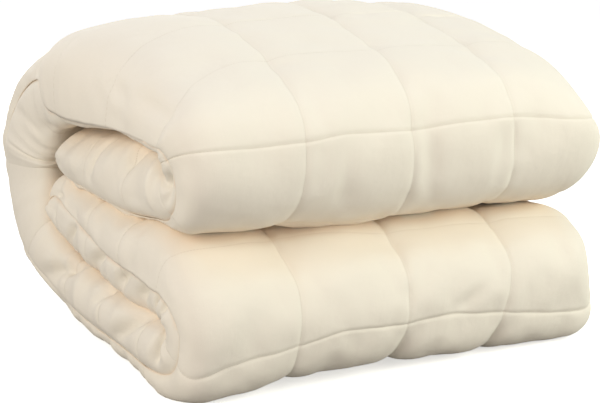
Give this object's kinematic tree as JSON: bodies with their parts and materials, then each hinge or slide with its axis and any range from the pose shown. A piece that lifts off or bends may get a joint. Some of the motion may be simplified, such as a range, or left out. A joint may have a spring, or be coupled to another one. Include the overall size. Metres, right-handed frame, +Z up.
{
  "type": "folded weighted blanket",
  "caption": "Box-quilted cream cotton weighted blanket, folded in thirds, ends in to the middle and in half round a spine, lying flat on its rounded lower fold.",
  "frame": {"origin": "the middle of the folded blanket in X and Y, on the plane that it lies on", "axes": "+Z is up, -Y is the side of the two rounded front folds, +Y is the side of the spine, and +X is the side of the plain long fold"},
  "size_m": [0.5201, 0.5607, 0.3695],
  "materials": {
    "cotton": "matte woven cotton"
  },
  "bodies": {
    "root": {"blanket": "cotton"}
  },
  "joints": []
}
